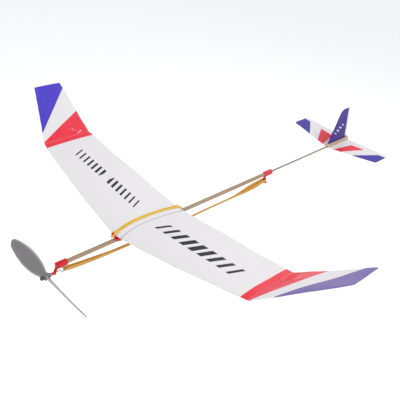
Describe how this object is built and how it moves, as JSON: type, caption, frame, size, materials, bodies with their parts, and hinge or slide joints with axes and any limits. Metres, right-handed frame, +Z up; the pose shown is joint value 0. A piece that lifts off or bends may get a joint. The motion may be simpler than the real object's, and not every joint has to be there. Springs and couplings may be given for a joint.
{
  "type": "rubber band plane",
  "caption": "Rubber-band-powered stick aeroplane with a folded-tip foam wing banded to a sliding seat, foam tail surfaces and a two-blade propeller driven by a looped rubber motor.",
  "frame": {"origin": "centre of the flat underside of the wing seat's sleeve, under the wing on the motor stick", "axes": "+X forward towards the propeller, +Y to port (left), +Z up"},
  "size_m": [0.4574, 0.4392, 0.0881],
  "materials": {
    "stick_wood": "bare sanded",
    "boom_wood": "bare sanded",
    "red_plastic": "gloss moulded",
    "tail_block": "satin moulded",
    "printed_foam": "foam sheet with a semi-gloss print",
    "amber_rubber": "natural, slightly translucent",
    "yellow_rubber": "matt",
    "propeller_plastic": "satin moulded",
    "hub_plastic": "satin moulded",
    "steel": "drawn wire and stamping"
  },
  "bodies": {
    "fuselage": {"motor_stick": "stick_wood", "nose_bracket": "red_plastic", "tail_hook": "red_plastic", "tail_boom": "boom_wood", "tail_block": "tail_block", "stabilizer": "printed_foam", "fin": "printed_foam", "rubber_motor": "amber_rubber"},
    "wing_group": {"wing_seat": "red_plastic", "wing": "printed_foam", "wing_band": "yellow_rubber"},
    "propeller_group": {"propeller": "propeller_plastic", "thrust_washer": "steel", "hub_nose": "hub_plastic", "prop_shaft": "steel"}
  },
  "joints": [
    {"name": "propeller_spin", "type": "hinge", "parent": "fuselage", "child": "propeller_group", "pos_m": [0.1023, 0, -0.00475], "axis": [1, 0, 0], "continuous": true, "deforming": ["rubber_motor"]},
    {"name": "wing_slide", "type": "slide", "parent": "fuselage", "child": "wing_group", "axis": [1, 0, 0], "range_m": [-0.02, 0.02]}
  ]
}
